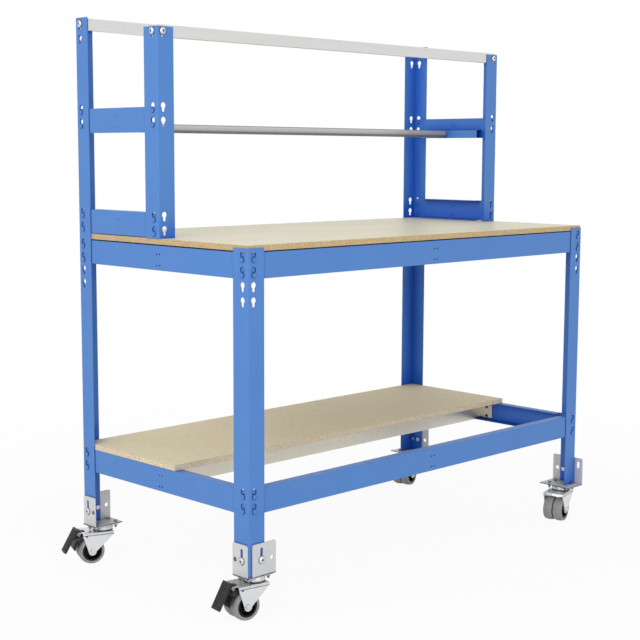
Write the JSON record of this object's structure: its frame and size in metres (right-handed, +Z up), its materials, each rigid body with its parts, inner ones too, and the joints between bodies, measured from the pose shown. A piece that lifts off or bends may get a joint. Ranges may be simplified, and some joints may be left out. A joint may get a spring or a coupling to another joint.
{
  "type": "mobile work table",
  "caption": "Mobile work table: keyhole-angle frame on swivel casters, laminate worktop, half-depth lower shelf and an open rear upstand with sloping side bars.",
  "frame": {"origin": "on the floor, at the middle of the table's bounding box with the casters as they stand at rest", "axes": "+X to the right along the long front, +Y from the front to the upstand side, +Z up"},
  "size_m": [1.598, 0.8174, 1.637],
  "materials": {
    "blue_paint": "satin blue powder coat",
    "galvanised": "plain galvanised sheet",
    "zinc": "bright zinc plate",
    "laminate": "light laminate on board, brown edge",
    "chipboard": "raw chipboard",
    "grey_rubber": "grey rubber",
    "black_plastic": "black moulded plastic"
  },
  "bodies": {
    "frame": {"base_channel": "galvanised", "base_front_beam": "blue_paint", "base_left_beam": "blue_paint", "base_rear_beam": "blue_paint", "base_right_beam": "blue_paint", "base_rivets": "zinc", "base_shelf": "chipboard", "foot_bolts": "zinc", "front_left_bracket": "zinc", "front_left_caster_plate": "zinc", "front_left_leg": "blue_paint", "front_right_bracket": "zinc", "front_right_caster_plate": "zinc", "front_right_leg": "blue_paint", "left_post": "blue_paint", "rear_left_bracket": "zinc", "rear_left_caster_plate": "zinc", "rear_left_upright": "blue_paint", "rear_right_bracket": "zinc", "rear_right_caster_plate": "zinc", "rear_right_upright": "blue_paint", "right_post": "blue_paint", "step_rail": "galvanised", "top_bar_bolts": "zinc", "top_front_bar": "galvanised", "top_left_bar": "galvanised", "top_rear_bar": "galvanised", "top_right_bar": "galvanised", "upstand_low_left_beam": "blue_paint", "upstand_low_right_beam": "blue_paint", "upstand_rivets": "zinc", "upstand_step_left_beam": "blue_paint", "upstand_step_right_beam": "blue_paint", "worktop_board": "laminate", "worktop_channel": "galvanised", "worktop_front_beam": "blue_paint", "worktop_left_beam": "blue_paint", "worktop_rear_beam": "blue_paint", "worktop_right_beam": "blue_paint", "worktop_rivets": "zinc"},
    "front_left_swivel": {"front_left_fork": "zinc", "front_left_axle": "zinc"},
    "front_left_wheel": {"front_left_hub": "black_plastic", "front_left_tyres": "grey_rubber"},
    "front_left_brake": {"front_left_pedal": "black_plastic"},
    "rear_left_swivel": {"rear_left_fork": "zinc", "rear_left_axle": "zinc"},
    "rear_left_wheel": {"rear_left_hub": "black_plastic", "rear_left_tyres": "grey_rubber"},
    "rear_left_brake": {"rear_left_pedal": "black_plastic"},
    "front_right_swivel": {"front_right_fork": "zinc", "front_right_axle": "zinc"},
    "front_right_wheel": {"front_right_hub": "black_plastic", "front_right_tyres": "grey_rubber"},
    "rear_right_swivel": {"rear_right_fork": "zinc", "rear_right_axle": "zinc"},
    "rear_right_wheel": {"rear_right_hub": "black_plastic", "rear_right_tyres": "grey_rubber"}
  },
  "joints": [
    {"name": "front_left_swivel_turn", "type": "hinge", "parent": "frame", "child": "front_left_swivel", "pos_m": [-0.67184, -0.34871, 0.098], "axis": [0, 0, 1], "continuous": true},
    {"name": "front_left_wheel_roll", "type": "hinge", "parent": "front_left_swivel", "child": "front_left_wheel", "pos_m": [-0.71221, -0.34159, 0.04], "axis": [0.1736, 0.9848, 0], "continuous": true},
    {"name": "front_left_brake_press", "type": "hinge", "parent": "front_left_swivel", "child": "front_left_brake", "pos_m": [-0.72896, -0.33864, 0.088], "axis": [-0.1736, -0.9848, 0], "range_deg": [0, 12]},
    {"name": "rear_left_swivel_turn", "type": "hinge", "parent": "frame", "child": "rear_left_swivel", "pos_m": [-0.67184, 0.34529, 0.098], "axis": [0, 0, 1], "continuous": true},
    {"name": "rear_left_wheel_roll", "type": "hinge", "parent": "rear_left_swivel", "child": "rear_left_wheel", "pos_m": [-0.70985, 0.36065, 0.04], "axis": [0.3746, 0.9272, 0], "continuous": true},
    {"name": "rear_left_brake_press", "type": "hinge", "parent": "rear_left_swivel", "child": "rear_left_brake", "pos_m": [-0.72561, 0.36701, 0.088], "axis": [-0.3746, -0.9272, 0], "range_deg": [0, 12]},
    {"name": "front_right_swivel_turn", "type": "hinge", "parent": "frame", "child": "front_right_swivel", "pos_m": [0.75366, -0.34871, 0.098], "axis": [0, 0, 1], "continuous": true},
    {"name": "front_right_wheel_roll", "type": "hinge", "parent": "front_right_swivel", "child": "front_right_wheel", "pos_m": [0.71388, -0.35863, 0.04], "axis": [-0.2419, 0.9703, 0], "continuous": true},
    {"name": "rear_right_swivel_turn", "type": "hinge", "parent": "frame", "child": "rear_right_swivel", "pos_m": [0.75366, 0.34529, 0.098], "axis": [0, 0, 1], "continuous": true},
    {"name": "rear_right_wheel_roll", "type": "hinge", "parent": "rear_right_swivel", "child": "rear_right_wheel", "pos_m": [0.71388, 0.33537, 0.04], "axis": [-0.2419, 0.9703, 0], "continuous": true}
  ]
}
